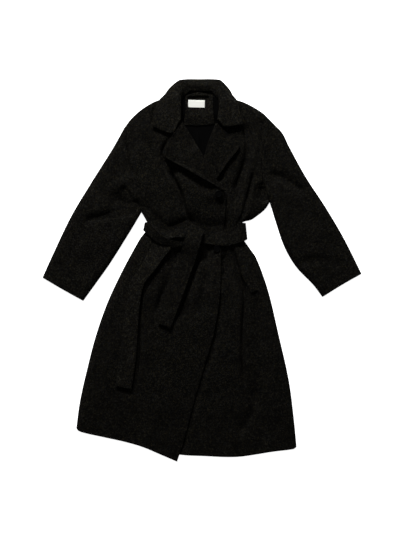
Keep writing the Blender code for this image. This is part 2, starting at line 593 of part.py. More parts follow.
def welt(name, top, bottom, side):
    """A slanted pocket's welt, sewn on a front beside the opening's edge."""
    opening = smooth_line([top, bottom], 8)
    run = np.subtract(bottom, top) / np.linalg.norm(np.subtract(bottom, top))
    across = np.array([-run[1], run[0]]) * side * WELT_WIDTH
    plan = opening[:, None] + across * np.linspace(0, 1, 3)[None, :, None]
    height = near(coat_face, plan[..., 0], plan[..., 1], np.max, WELT_BRIDGES) + SEAM + WOOL
    cloth(name, np.dstack([plan, height]), WOOL, wool, flip=side > 0)


collection = start_collection("wrap_coat")
coat = bpy.data.objects.new("wrap_coat", None)
collection.objects.link(coat)
wool = material("felted wool", (0.010, 0.009, 0.007))
lining = material("satin lining", (0.004, 0.004, 0.004), 0.45)
white_tape = material("woven tape", (0.75, 0.75, 0.73), 0.8)
horn = material("horn", (0.006, 0.006, 0.006), 0.3)

back_panel()
fronts()
sleeve("right", (RIGHT_CUFF, RIGHT_CUFF_INNER[::-1], SLEEVE_SEAMS["right"], RIGHT_CUFF_OUTER))
sleeve("left", (LEFT_CUFF, LEFT_CUFF_OUTER[::-1], SLEEVE_SEAMS["left"][::-1], LEFT_CUFF_INNER))
lapel("lapel_right", OUTER_ROLL, OUTER_LAPEL, OUTER_NORMAL, outer_face, 7.0, flip=True)
lapel("lapel_left", INNER_ROLL, INNER_LAPEL, INNER_NORMAL, inner_face, 3.0, flip=False)
collar()
for stretch, rows in BELT.items():
    strap(stretch, rows)
neck()
for index, place in enumerate(BUTTONS, 1):
    button(index, *place)
for welt_name, (upper_end, lower_end, welt_side) in WELTS.items():
    welt(welt_name, upper_end, lower_end, welt_side)
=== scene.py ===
"""Belted wrap coat in felted wool, laid flat on its back: fronts wrapped, belt tied, sleeves spread.

Sizes are in millimetres until a mesh is finished. -X is the wearer's right, +Y points to the collar, and
Z = 0 is the surface that the coat lies on.
"""

import math

import bmesh
import bpy
import numpy as np
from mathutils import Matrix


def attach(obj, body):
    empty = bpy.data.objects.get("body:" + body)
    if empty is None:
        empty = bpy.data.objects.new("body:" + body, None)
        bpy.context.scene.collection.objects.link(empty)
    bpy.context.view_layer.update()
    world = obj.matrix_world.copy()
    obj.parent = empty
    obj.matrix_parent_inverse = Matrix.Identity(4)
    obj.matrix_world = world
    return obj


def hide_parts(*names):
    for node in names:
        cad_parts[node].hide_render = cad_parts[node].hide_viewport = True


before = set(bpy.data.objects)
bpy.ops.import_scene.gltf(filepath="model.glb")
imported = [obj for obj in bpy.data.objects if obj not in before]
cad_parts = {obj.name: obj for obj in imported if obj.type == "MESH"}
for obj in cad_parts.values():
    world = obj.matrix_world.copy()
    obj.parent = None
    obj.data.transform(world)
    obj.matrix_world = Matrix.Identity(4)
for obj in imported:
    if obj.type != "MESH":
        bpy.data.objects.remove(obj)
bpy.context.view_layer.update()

# -------------------------------- the table, the light and the camera
# The coat lies on a plain pale table. A broad lamp stands low beyond the collar, so that the folds show,
# and a softer one hangs overhead. The camera looks straight down through a long lens.

MM = 0.001
TABLE_REACH = 6  # metres from the table's middle to its edges
TABLE_DROP = 0.6  # the table's face lies this much under the coat, so that the two don't flicker


def srgb(code):
    """Linear colour of an sRGB hex value."""
    parts = [int(code[k : k + 2], 16) / 255 for k in (1, 3, 5)]
    return (*[part / 12.92 if part <= 0.04045 else ((part + 0.055) / 1.055) ** 2.4 for part in parts], 1.0)


def plain_finish(name, **settings):
    """A material that is even all over, with these settings of the standard surface."""
    made = bpy.data.materials.new(name)
    made.use_nodes = True
    for key, value in settings.items():
        made.node_tree.nodes["Principled BSDF"].inputs[key.replace("_", " ")].default_value = value
    return made


table_top = bmesh.new()
bmesh.ops.create_grid(table_top, x_segments=1, y_segments=1, size=TABLE_REACH)
bmesh.ops.translate(table_top, verts=table_top.verts, vec=(0, 0, -TABLE_DROP * MM))
table_mesh = bpy.data.meshes.new("table")
table_top.to_mesh(table_mesh)
table_top.free()
table = bpy.data.objects.new("table", table_mesh)
bpy.context.collection.objects.link(table)

# Matt emulsion paint on board: an even white without gloss. A little glow stands for a pale room's light.
white_board = plain_finish(
    "painted white board", Base_Color=srgb("#f4f4f2"), Roughness=0.9, Specular_IOR_Level=0.1,
    Emission_Color=srgb("#ffffff"), Emission_Strength=0.95,
)
table_mesh.materials.append(white_board)
table.visible_diffuse = False

LAMPS = (  # name, place in metres, width, height, power in watts
    ("window lamp", (-0.95, 4.4, 2.4), 1.2, 0.8, 485.0),
    ("overhead lamp", (0.2, 0.2, 4.2), 3.0, 3.0, 8.0),
)
for lamp_name, lamp_place, lamp_width, lamp_height, lamp_power in LAMPS:
    lamp_data = bpy.data.lights.new(lamp_name, "AREA")
    lamp_data.shape = "RECTANGLE"
    lamp_data.size = lamp_width
    lamp_data.size_y = lamp_height
    lamp_data.energy = lamp_power
    lamp = bpy.data.objects.new(lamp_name, lamp_data)
    lamp.location = lamp_place
    lamp.rotation_euler = (-lamp.location).to_track_quat("-Z", "Y").to_euler()
    bpy.context.collection.objects.link(lamp)

room = bpy.data.worlds.new("room")
room.use_nodes = True
background = room.node_tree.nodes["Background"]
background.inputs["Color"].default_value = srgb("#ffffff")
background.inputs["Strength"].default_value = 0.12
bpy.context.scene.world = room
bpy.context.scene.view_settings.view_transform = "Standard"

VIEW_HEIGHT = 1.669  # metres of table from the view's bottom to its top
CAMERA_HEIGHT = 9.0
SENSOR_HEIGHT = 24.0
camera_data = bpy.data.cameras.new("camera")
camera_data.sensor_fit = "VERTICAL"
camera_data.sensor_height = SENSOR_HEIGHT
camera_data.lens = SENSOR_HEIGHT * CAMERA_HEIGHT / VIEW_HEIGHT
camera_data.clip_end = 50.0
camera = bpy.data.objects.new("camera", camera_data)
camera.location = (0.0, 0.0015, CAMERA_HEIGHT)
bpy.context.collection.objects.link(camera)
bpy.context.scene.camera = camera

# -------------------------------- back panel
# The coat's back is cut on the fold from felted coat wool. It lies flat, and the belt and the collar that
# go round under it hold it a little off the table. Its edges are turned, and lying has pressed faint
# troughs in it.

WOOL = 2.6  # one layer of the coat's wool
DOUBLED = 4.6  # two layers of wool: collar and belt
SEAM = 0.4  # gap between two pieces that are sewn together
LAID = 0.8  # gap between a piece and what it lies on
LIFT = DOUBLED + LAID
LIFTS = (  # x and y where the lift starts, is full and ends, first for the belt, then for the collar
    ((-336, -252, 168, 252), (60, 90, 180, 210)),
    ((-252, -168, 168, 252), (450, 480, 600, 630)),
)
EDGE_STEP = 10.0  # a pattern's edges are cut as straight steps of about this length
LEAST_STEP = 4.0  # where two edges meet, points closer than this are one
RIM = 3.0  # the rounding of a turned edge is made in a ring of this width
SECOND_RIM = 7.0  # width of a second ring, which keeps the cells inside the first even
TURN = 1.2  # radius of a turned edge
LEAST_WALL = 0.3
CREASE_REACH = 9.0  # the cells are made finer this close to a crease


def spline(points, steps):
    """A smooth curve through the points along the first axis, with this many steps in each span."""
    p = np.array(points, float)
    p = np.concatenate([[2 * p[0] - p[1]], p, [2 * p[-1] - p[-2]]])
    spans = np.linalg.norm(np.diff(p, axis=0), axis=-1, keepdims=True) + 1e-9
    curve = [p[1:2]]
    for k, count in enumerate(np.broadcast_to(steps, len(points) - 1)):
        a, b = p[k + 1], p[k + 2]
        slope_a = (b - p[k]) * spans[k + 1] / (spans[k] + spans[k + 1])
        slope_b = (p[k + 3] - a) * spans[k + 1] / (spans[k + 1] + spans[k + 2])
        t = np.arange(1, count + 1).reshape(-1, *[1] * a.ndim) / count
        curve.append(
            (2 * t**3 - 3 * t**2 + 1) * a + (t**3 - 2 * t**2 + t) * slope_a
            + (3 * t**2 - 2 * t**3) * b + (t**3 - t**2) * slope_b
        )
    return np.concatenate(curve)


def at_shares(line, shares):
    """The points at these shares of a line's length."""
    line = np.asarray(line, float)
    along = np.concatenate([[0], np.cumsum(np.linalg.norm(np.diff(line, axis=0), axis=1))])
    return np.stack([np.interp(shares, along / along[-1], line[:, k]) for k in range(line.shape[1])], axis=-1)


def smooth_line(points, count):
    """Points spread evenly by length along a smooth curve through the given ones."""
    return at_shares(spline(points, 12), np.linspace(0, 1, count))


def cut_edge(points):
    """A pattern's edge as even short steps."""
    length = np.linalg.norm(np.diff(spline(points, 4), axis=0), axis=1).sum()
    return smooth_line(points, int(np.ceil(length / EDGE_STEP)) + 1)


def cut_outline(*edges):
    """One closed outline of several edges, in order round the piece."""
    points = np.concatenate(edges)
    gaps = np.linalg.norm(points - np.roll(points, -1, axis=0), axis=1)
    return points[gaps > LEAST_STEP]


def smoothstep(value, low, high):
    """A soft rise from 0 at the low value to 1 at the high one."""
    t = np.clip((value - low) / (high - low), 0, 1)
    return t * t * (3 - 2 * t)


def from_path(path, x, y):
    """Distance of each place from a path, positive on its left, and its share of the way along the path."""
    steps = np.diff(path, axis=0)
    lengths = np.linalg.norm(steps, axis=1)
    before = np.cumsum(lengths) - lengths
    signed, share = np.empty(x.size), np.empty(x.size)
    batch = 4000  # places worked out at a time
    for first in range(0, x.size, batch):
        part = slice(first, first + batch)
        px = x.ravel()[part, None] - path[:-1, 0]
        py = y.ravel()[part, None] - path[:-1, 1]
        t = np.clip((px * steps[:, 0] + py * steps[:, 1]) / lengths**2, 0, 1)
        distances = np.hypot(px - t * steps[:, 0], py - t * steps[:, 1])
        closest = (np.arange(len(px)), np.argmin(distances, axis=1))
        left = steps[closest[1], 0] * py[closest] - steps[closest[1], 1] * px[closest] >= 0
        signed[part] = np.where(left, distances[closest], -distances[closest])
        share[part] = (before[closest[1]] + t[closest] * lengths[closest[1]]) / lengths.sum()
    return signed.reshape(x.shape), share.reshape(x.shape)


def nearest(lines, x, y):
    """Distance of each place from the closest of some lines."""
    return np.min([np.abs(from_path(line, x, y)[0]) for line in lines], axis=0)


def near(face, x, y, pick, reach=14.0):
    """The highest or lowest that a face gets round a place, because stiff cloth bridges what is under it."""
    turns = np.linspace(0, 2 * np.pi, 8, endpoint=False)
    offsets = [(0, 0), *zip(reach * np.cos(turns), reach * np.sin(turns))]
    return pick([face(x + dx, y + dy) for dx, dy in offsets], axis=0)


def lift(x, y):
    """How far the belt and the collar that go round under the back hold the coat off the table."""
    total = np.zeros(np.shape(x))
    for across, up in LIFTS:
        total = np.maximum(total, np.interp(x, across, (0, 1, 1, 0)) * np.interp(y, up, (0, 1, 1, 0)))
    return LIFT * total


def add_node(tree, kind, links=(), **settings):
    """A shader node with its links and settings. A setting with an underscore in front is an input."""
    node = tree.nodes.new(kind)
    for key, value in settings.items():
        if key.startswith("_"):
            node.inputs[key[1:].replace("_", " ")].default_value = value
        else:
            setattr(node, key, value)
    for socket, source in links:
        tree.links.new(source, node.inputs[socket])
    return node


FLECK = 2.4  # a fleck of one dye, really 1 to 3 mm across
FLECK_STRAY = 4.0  # how far a fleck's edge may wander
STRAYS = 420.0  # bends of that edge to the metre
FIBRES = 1100.0  # tufts of fibre to the metre, each 0.9 mm across
PATCHES = 26.0  # patches of nap to the metre, each 38 mm across
NAP = 0.8  # height of the nap
DEPTHS = (  # share of the fibres, how dark they are dyed
    (0.0, "#030303"), (0.35, "#070707"), (0.6, "#0c0c0b"), (0.8, "#121211"), (0.93, "#181816"),
    (1.0, "#1e1d1a"),
)
TINTS = (  # share of the fibres, their tint
    (0.0, "#fff0c4"), (0.4, "#fff8e4"), (0.6, "#fffdf2"), (0.8, "#e9eeff"), (1.0, "#ffe9d0"),
)


def coat_wool(name, brightness):
    """Felted wool melange: fulled until the weave is gone, so the eye sees a matt nap of near-black fibres,
    with brown, olive and blue-grey ones blended in as flecks, and patches where the nap lies one way or
    another."""
    made = plain_finish(name, Roughness=0.95, Specular_IOR_Level=0.02)
    tree = made.node_tree
    shader = tree.nodes["Principled BSDF"]
    place = add_node(tree, "ShaderNodeTexCoord").outputs["Object"]
    wander = add_node(tree, "ShaderNodeTexNoise", [("Vector", place)], _Scale=STRAYS, _Detail=2.0)
    shift = add_node(
        tree, "ShaderNodeVectorMath", [(0, wander.outputs["Color"])],
        operation="SCALE", _Scale=FLECK_STRAY * MM,
    )
    strayed = add_node(tree, "ShaderNodeVectorMath", [(0, place), (1, shift.outputs[0])], operation="ADD")
    tufts = add_node(tree, "ShaderNodeTexVoronoi", [("Vector", strayed.outputs[0])], _Scale=1 / (FLECK * MM))
    chances = add_node(tree, "ShaderNodeSeparateColor", [("Color", tufts.outputs["Color"])])
    depth = add_node(tree, "ShaderNodeValToRGB", [("Fac", chances.outputs[0])])
    tint = add_node(tree, "ShaderNodeValToRGB", [("Fac", chances.outputs[1])])
    for shades, stops in ((depth, DEPTHS), (tint, TINTS)):
        for end in (0, -1):
            shades.color_ramp.elements[end].color = srgb(stops[end][1])
        for position, code in stops[1:-1]:
            shades.color_ramp.elements.new(position).color = srgb(code)
    dyed = add_node(
        tree, "ShaderNodeVectorMath", [(0, depth.outputs["Color"]), (1, tint.outputs["Color"])],
        operation="MULTIPLY",
    )
    patches = add_node(
        tree, "ShaderNodeTexNoise", [("Vector", place)], _Scale=PATCHES, _Detail=3.0, _Roughness=0.6
    )
    fibres = add_node(
        tree, "ShaderNodeTexNoise", [("Vector", place)],
        _Scale=FIBRES, _Detail=2.0, _Roughness=0.7, _Distortion=1.2,
    )
    uneven = add_node(
        tree, "ShaderNodeMath", [(0, patches.outputs["Fac"]), (2, fibres.outputs["Fac"])],
        operation="MULTIPLY_ADD",
    )
    uneven.inputs[1].default_value = 0.5
    # The brightness scales the whole colour. The paler and darker copies of this wool that it makes are
    # painted light and painted shade.
    tone = add_node(
        tree, "ShaderNodeMapRange", [("Value", uneven.outputs[0])], _From_Min=0.45, _From_Max=1.05,
        _To_Min=0.5 * brightness, _To_Max=1.5 * brightness,
    )
    toned = add_node(
        tree, "ShaderNodeVectorMath", [(0, dyed.outputs[0]), ("Scale", tone.outputs[0])], operation="SCALE"
    )
    tree.links.new(toned.outputs[0], shader.inputs["Base Color"])
    nap = add_node(
        tree, "ShaderNodeMath", [(0, tufts.outputs["Distance"]), (1, fibres.outputs["Fac"])], operation="ADD"
    )
    bump = add_node(tree, "ShaderNodeBump", [("Height", nap.outputs[0])], _Strength=0.5, _Distance=NAP * MM)
    tree.links.new(bump.outputs[0], shader.inputs["Normal"])
    return made


wool = coat_wool("felted wool melange", 0.95)


def finished(node, sheet, finish, slot):
    """Makes a piece of a bmesh in millimetres, in place of the model's part of that name, on the root body.
    """
    name = f"{node}_{slot}"
    bmesh.ops.scale(sheet, verts=sheet.verts, vec=(MM, MM, MM))
    mesh = bpy.data.meshes.new(name)
    sheet.to_mesh(mesh)
    sheet.free()
    mesh.materials.append(finish)
    mesh.shade_smooth()
    piece = bpy.data.objects.new(name, mesh)
    bpy.context.collection.objects.link(piece)
    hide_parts(node)
    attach(piece, "root")
    return piece


def panel(name, outline, face, underside, finish, slot, cells=16.0, cuts=3, creases=()):
    """A pattern piece: its outline is cut into small cells, which are raised to the cloth's face and given
    its thickness. The cut edges are rounded, as a turned edge is."""
    sheet = bmesh.new()
    middle = sheet.faces.new([sheet.verts.new((x, y, 0)) for x, y in outline])
    rim = sheet.verts.layers.float.new("rim")
    for ring in (RIM, SECOND_RIM):
        bmesh.ops.inset_region(sheet, faces=[middle], thickness=ring, use_boundary=True)
        for vertex in middle.verts:
            vertex[rim] = 1.0
    low, high = outline.min(axis=0), outline.max(axis=0)
    for axis in range(2):
        direction = np.eye(3)[axis]
        for line in np.arange(np.ceil(low[axis] / cells), high[axis] / cells) * cells:
            everything = [*sheet.verts, *sheet.edges, *sheet.faces]
            bmesh.ops.bisect_plane(
                sheet, geom=everything, dist=0.5, plane_co=direction * line, plane_no=direction
            )
    bmesh.ops.remove_doubles(sheet, verts=sheet.verts, dist=0.2)
    bmesh.ops.triangulate(sheet, faces=sheet.faces)
    if cuts:
        bmesh.ops.subdivide_edges(sheet, edges=sheet.edges, cuts=cuts, use_grid_fill=True)
    bmesh.ops.triangulate(sheet, faces=sheet.faces)
    if creases:
        middles = np.array([(edge.verts[0].co + edge.verts[1].co) / 2 for edge in sheet.edges])
        close = nearest(creases, *middles.T[:2]) < CREASE_REACH
        creased = [edge for edge, chosen in zip(sheet.edges, close) if chosen]
        bmesh.ops.subdivide_edges(sheet, edges=creased, cuts=1)
        bmesh.ops.triangulate(sheet, faces=sheet.faces)
    x, y = np.array([vertex.co for vertex in sheet.verts]).T[:2]
    turned = RIM * np.array([vertex[rim] for vertex in sheet.verts])
    drop = TURN - np.sqrt(np.maximum(TURN**2 - np.clip(TURN - turned, 0, TURN) ** 2, 0))
    top = face(x, y)
    bottom = np.minimum(underside(x, y, top), top - LEAST_WALL)
    spare = np.clip((top - bottom) / 2 - 0.1, 0, TURN) / TURN
    for vertex, height in zip(sheet.verts, top - drop * spare):
        vertex.co.z = height
    lower = sheet.verts.layers.float.new("lower")
    for vertex, height in zip(sheet.verts, bottom + drop * spare):
        vertex[lower] = height
    extruded = bmesh.ops.extrude_face_region(sheet, geom=[*sheet.verts, *sheet.edges, *sheet.faces])
    for vertex in extruded["geom"]:
        if isinstance(vertex, bmesh.types.BMVert):
            vertex.co.z = vertex[lower]
    bmesh.ops.recalc_face_normals(sheet, faces=sheet.faces)
    finished(name, sheet, finish, slot)


right_side = cut_edge((
    (-388.5, -487), (-377, -403), (-357, -313), (-329, -205), (-292, -99), (-243, 5), (-193, 96), (-186, 106),
    (-179, 114), (-173, 122), (-168, 133), (-167, 147), (-173, 155), (-178, 165), (-187, 179),
))
right_armhole = cut_edge(((-187, 179), (-205, 225), (-216, 271), (-223, 324), (-230, 380), (-241, 439)))
right_shoulder = cut_edge((
    (-241, 439), (-220, 467), (-187, 497), (-153, 518), (-128, 528), (-110, 531), (-92, 535), (-72, 539),
))
left_side = cut_edge((
    (292, -545), (284, -461), (268, -338), (237, -199), (204, -61), (168, 38), (149, 66),
    (131, 91), (125, 106), (124, 130), (124, 147), (134, 152), (150, 155), (167, 166), (196, 190), (209, 211),
))
left_armhole = cut_edge(((209, 211), (199, 238), (188, 285), (185, 342), (194, 398), (221, 453)))
left_shoulder = cut_edge((
    (221, 453), (190, 484), (158, 505), (130, 519), (112, 525), (98, 528), (80, 534), (60, 539),
))
back_neck = cut_edge(((-72, 539), (-52, 545), (-6, 548), (40, 545), (60, 539)))
back_hem = cut_edge((
    (-385, -485), (-300, -506), (-190, -534), (-60, -552), (70, -558), (190, -553), (289, -543),
))

PRESS_MARKS = (  # depth, width and path of the faint troughs that lying has pressed into the back
    (0.9, 14, ((-120, 380), (-60, 250), (-20, 160))),
    (0.8, 12, ((60, 400), (40, 280), (48, 160))),
    (1.1, 16, ((-40, 40), (-70, -160), (-120, -420))),
    (1.0, 18, ((30, 60), (60, -180), (90, -460))),
    (0.9, 14, ((120, -40), (170, -220), (200, -430))),
    (0.9, 14, ((-160, -60), (-220, -250), (-260, -430))),
)


def back_underside(x, y, _):
    """The back lies on the table but for the belt, the collar and its press marks."""
    marks = sum(
        depth * np.exp(-((from_path(smooth_line(path, 12), x, y)[0] / width) ** 2))
        for depth, width, path in PRESS_MARKS
    )
    return lift(x, y) + marks * (lift(x, y) < 0.01)


def back_face(x, y):
    return lift(x, y) + WOOL


STAGGER = np.array((0.7, 0))  # the back's armhole seams lie this much further out than the ones above them
back_outline = cut_outline(
    back_hem, left_side, left_armhole + STAGGER, left_shoulder, back_neck[::-1],
    right_shoulder[::-1], right_armhole[::-1] - STAGGER, right_side[::-1],
)
panel("back", back_outline, back_face, back_underside, wool, "wool", cells=24.0, cuts=2)

# -------------------------------- fronts
# Two fronts of the same wool, the wearer's right one wrapped over the left, each with its hem turned up
# inside. They swell over the air inside the coat, round down to the side seams, and carry the folds that
# the tied belt and the spread sleeves pull into them.

EDGE_TOP = WOOL + SEAM + 1.6  # height at a side seam, just over the back panel
EDGE_ROUND = 24.0  # the cloth rises to its full loft over this distance from a side seam
STEP = 3.5  # the outer front lies this much over the mean loft, and the inner one as much under it
HEM_STEP, SETTLED = 0.35, -330  # share of the step that is left at the hem, and y where it gets so small
OVERLAP_FROM, OVERLAP_REACH = -15, 50  # distances from the outer front's edge where the inner one gives way
COVERED_SINK = 3.0  # the inner front sinks this much more in the middle of the overlap
BODY_LOFT = (  # y, height of the fronts' faces in the mean
    (-600, 13), (-480, 17), (-250, 23), (-60, 24), (60, 22),
    (125, 20), (200, 22), (300, 21), (400, 18), (550, 15),
)
SEAM_LOFT = 18.0  # loft at the armhole, shared by body and sleeve
ARMHOLE_BLEND = 110.0  # over this distance from the armhole the body gets its own loft
SEAM_DIP = (1.5, 3.5)  # depth and width of the groove that a seam draws
belt_path = smooth_line(((-180, 135), (-60, 95), (20, 98), (135, 122)), 30)
BELT_PRESS = (16, 38)  # from the first distance to the second from the belt's middle, the folds return
FOLD_FADE = 0.2  # a fold rises and fades over this share of its path
LEAST_LOFT = 4.0  # a trough leaves at least this much over the side seam's height
HEM = (36, 39)  # depth of a turned-up hem, and where its step ends

FOLDS = (  # layer, height, width to the left of the path and to its right, path
    ("outer", 9.0, 34, 4, (
        (-92, 404), (-106, 352), (-92, 312), (-70, 268), (-57, 236), (-46, 192), (-31, 146),
    )),
    ("outer", 3.5, 18, 18, ((-186, 405), (-183, 300), (-165, 200))),
    ("outer", -5.0, 14, 14, ((-92, 60), (-112, -40), (-135, -150))),
    ("outer", -5.5, 14, 12, ((-10, 62), (-38, -60), (-72, -170))),
    ("outer", -5.0, 13, 13, ((30, 64), (15, -30), (-20, -150))),
    ("outer", 4.0, 28, 28, ((-205, -60), (-270, -240), (-315, -430))),
    ("outer", 3.5, 28, 28, ((-90, -220), (-108, -360), (-130, -500))),
    ("outer", 10.0, 52, 52, ((-30, 390), (4, 330), (38, 266), (66, 205))),
    ("inner", 3.0, 14, 14, ((102, 300), (93, 218), (87, 140))),
    ("inner", -5.5, 14, 14, ((135, 455), (144, 374), (118, 290), (95, 180))),
    ("inner", 6.0, 20, 40, ((126, 418), (128, 390), (126, 352), (112, 300), (97, 250))),
    ("inner", 5.5, 16, 6, ((166, 300), (148, 205), (118, 140))),
    ("inner", 8.0, 26, 4, ((92, 96), (107, 40), (121, -6), (135, -62), (130, -250), (135, -381))),
    ("inner", -5.5, 14, 14, ((164, -350), (160, -430), (107, -520))),
    ("inner", 5.5, 20, 20, ((172, -180), (214, -291), (226, -495))),
    ("inner", -5.0, 15, 15, ((64, -70), (45, -190), (16, -315))),
    ("both", 5.0, 16, 24, ((-262, 274), (-230, 256), (-198, 206))),
    ("both", -6.5, 15, 11, ((-369, 156), (-300, 166), (-205, 195))),
    ("both", 4.0, 15, 15, ((-285, 240), (-245, 272), (-205, 300))),
    ("both", -5.5, 13, 13, ((197, 300), (254, 287), (320, 234))),
    ("both", -4.0, 14, 14, ((287, 21), (370, 33), (451, 12))),
    ("both", -7.0, 10, 10, ((184, 262), (189, 234), (197, 205))),
)
CREASES = (  # layer, depth, width, path of the narrow troughs where the cloth tucks under itself
    ("outer", 12.0, 7.0, (
        (-92, 428), (-108, 398), (-121, 366), (-116, 338), (-101, 312), (-79, 268), (-65, 236), (-54, 192),
        (-39, 146),
    )),
    ("outer", 6.0, 13.0, ((-116, 338), (-62, 304), (-5, 272), (50, 238))),
    ("outer", 8.0, 12.0, ((-106, 350), (-92, 318), (-78, 286))),
    ("outer", 5.0, 9.0, ((-156, 432), (-120, 424), (-90, 414))),
    ("outer", 7.0, 5.0, ((-134, 530), (-146, 500), (-153, 470), (-156, 440))),
    ("outer", 12.0, 19.0, ((34, 104), (22, 62), (2, 18))),
    ("outer", 6.0, 9.0, ((-74, 75), (-92, -5), (-123, -76), (-150, -150))),
    ("outer", 7.0, 6.0, ((-2, 60), (-24, -5), (-52, -76), (-84, -160))),
    ("outer", 8.0, 5.0, ((-94, 80), (-133, 8), (-177, -41), (-190, -80), (-190, -227), (-198, -360))),
    ("outer", 14.0, 14.0, (
        (-200, 205), (-178, 184), (-152, 162), (-126, 140), (-104, 128), (-78, 136), (-30, 158),
    )),
    ("outer", 16.0, 28.0, ((-70, 142), (-10, 127), (30, 119), (100, 128))),
    ("inner", 13.0, 5.0, ((160, 312), (151, 263), (140, 219), (131, 179), (113, 143), (104, 122))),
    ("inner", 12.0, 10.0, ((132, 462), (140, 396), (138, 352), (127, 307), (109, 267), (98, 235))),
    ("inner", 4.0, 7.0, ((168, 476), (189, 440), (181, 383), (170, 340))),
    ("inner", 9.0, 13.0, ((6, 372), (24, 338), (44, 300), (60, 268))),
    ("inner", 5.0, 8.0, ((60, 424), (90, 432), (126, 440))),
    ("inner", 7.0, 5.0, ((112, 528), (122, 496), (130, 466), (132, 440))),
    ("inner", 16.0, 7.0, (
        (84, 108), (86, 96), (102, 39), (116, -5), (131, -58), (133, -94), (129, -165), (127, -226),
        (134, -390),
    )),
    ("inner", 7.0, 5.0, ((66, 50), (68, 20), (69, 0), (68, -26))),
    ("inner", 4.0, 8.0, ((70, 60), (85, 15), (102, -38))),
    ("both", 5.0, 14.0, ((182, 275), (190, 235), (199, 207))),
    ("both", 4.0, 12.0, ((200, 292), (242, 285), (268, 272), (330, 234))),
    ("both", 5.0, 9.0, ((-254, 262), (-228, 241), (-200, 188))),
    ("both", 10.0, 27.0, ((-292, 216), (-260, 216), (-230, 202), (-202, 172))),
    ("both", 4.5, 11.0, ((-378, 148), (-340, 156), (-296, 164), (-240, 178), (-205, 193))),
)
crease_paths = [smooth_line(path, 24) for *_, path in CREASES]
fold_paths = [smooth_line(path, 16) for *_, path in FOLDS]
WAVE_COUNT, WAVE_HEIGHT, WAVE_LENGTHS = 14, 0.24, (55, 170)  # the cloth's slight unevenness
wave_maker = np.random.default_rng(7)
WAVES = np.column_stack([  # wave number, direction and phase
    2 * np.pi / wave_maker.uniform(*WAVE_LENGTHS, WAVE_COUNT), wave_maker.uniform(0, np.pi, WAVE_COUNT),
    wave_maker.uniform(0, 6.28, WAVE_COUNT),
])

sleeve_edges = {
    "right_outer": cut_edge(((-241, 439), (-277, 375), (-343, 270), (-405, 166), (-462, 47), (-493, -22))),
    "right_inner": cut_edge(((-187, 179), (-229, 109), (-286, 19), (-325, -36), (-367, -94))),
    "left_outer": cut_edge((
        (221, 453), (248, 425), (268, 385), (320, 290), (382, 195), (438, 100), (493, -10),
    )),
    "left_inner": cut_edge(((209, 211), (226, 155), (254, 74), (290, 12), (344, -45), (372, -82))),
}
side_folds = {
    "right": [right_side, right_shoulder, sleeve_edges["right_outer"], sleeve_edges["right_inner"]],
    "left": [left_side, left_shoulder, sleeve_edges["left_outer"], sleeve_edges["left_inner"]],
}

outer_hem = cut_edge((
    (-388.5, -487), (-378, -497), (-306, -514), (-242, -528), (-183, -545), (-124, -570), (-77, -590),
))
OUTER_EDGE = (
    (-77, -590), (-59, -535), (-25, -407), (14, -273), (40, -179), (57, -60), (59, 60), (66, 125), (73, 187),
    (74, 232),
)
OUTER_ROLL = ((72, 246), (38, 291), (4, 354), (-31, 412), (-60, 459))
INNER_EDGE = ((-150, -530), (-120, -401), (-85, -246), (-66, -91), (-56, 32), (-40, 172), (-22, 262))
INNER_ROLL = ((-16, 270), (-4, 310), (7, 354), (18, 395), (32, 430), (42, 455))
inner_hem = cut_edge((
    (-150, -530), (-100, -562), (-58, -570), (8, -573), (68, -576), (117, -575), (167, -568),
    (216, -560), (284, -551), (291, -545),
))
outer_neck = cut_edge(((-73, 472), (-74, 505), (-72, 539)))
inner_neck = cut_edge(((60, 472), (62, 505), (60, 539)))
ROLL_RADIUS = (3 * WOOL + 2 * LAID) / 2 + 0.4  # half the height of a lapel's fold
OUTER_NORMAL, INNER_NORMAL = (-0.864, -0.504), (0.954, -0.300)  # from each roll line towards its front
outer_free_edge = smooth_line(OUTER_EDGE + OUTER_ROLL, 90)


def inside_roll(roll, normal):
    """The line of a front's edge inside the fold of its lapel."""
    return cut_edge(np.array(roll, float) + np.array(normal) * ROLL_RADIUS)


def by_path(path, reach, height, x, y):
    """Height that one fold adds, worked out only for the places that it reaches."""
    (left, low), (right, high) = path.min(axis=0) - reach, path.max(axis=0) + reach
    here = (x > left) & (x < right) & (y > low) & (y < high)
    added = np.zeros(x.shape)
    if here.any():
        distance, share = from_path(path, x[here], y[here])
        added[here] = height(distance) * smoothstep(share, 0, FOLD_FADE) * smoothstep(1 - share, 0, FOLD_FADE)
    return added


def folds(x, y, layer):
    """What a layer's folds and unevenness add, pressed flat under the belt, and what its creases take."""
    total = np.zeros(x.shape)
    for number, direction, phase in WAVES:
        total += WAVE_HEIGHT * np.sin(number * (x * np.cos(direction) + y * np.sin(direction)) + phase)
    for (where, height, left, right, _), path in zip(FOLDS, fold_paths):
        if where in (layer, "both"):
            total += by_path(
                path, 3 * max(left, right),
                lambda away: height * np.exp(-((away / np.where(away > 0, left, right)) ** 2)), x, y,
            )
    total *= smoothstep(np.abs(from_path(belt_path, x, y)[0]), *BELT_PRESS)
    for (where, depth, width, _), path in zip(CREASES, crease_paths):
        if where in (layer, "both"):
            total += by_path(
                path, 4 * width, lambda away: -depth * np.exp(-np.abs(away / width) ** 1.6), x, y
            )
    return total


def creases_on(*layers):
    """The paths of the creases that cross a layer."""
    return [path for (where, *_), path in zip(CREASES, crease_paths) if where in layers]


def rounded(x, y, loft, layer, side):
    """Face of a layer of cloth: it rises from the side seams to its loft, with its folds on it."""
    low = EDGE_TOP + near(lift, x, y, np.max)
    full = loft + folds(x, y, layer)
    inward = 1 - np.clip(nearest(side_folds[side], x, y) / EDGE_ROUND, 0, 1)
    return low + np.maximum(full - low, LEAST_LOFT) * np.sqrt(1 - inward**2)


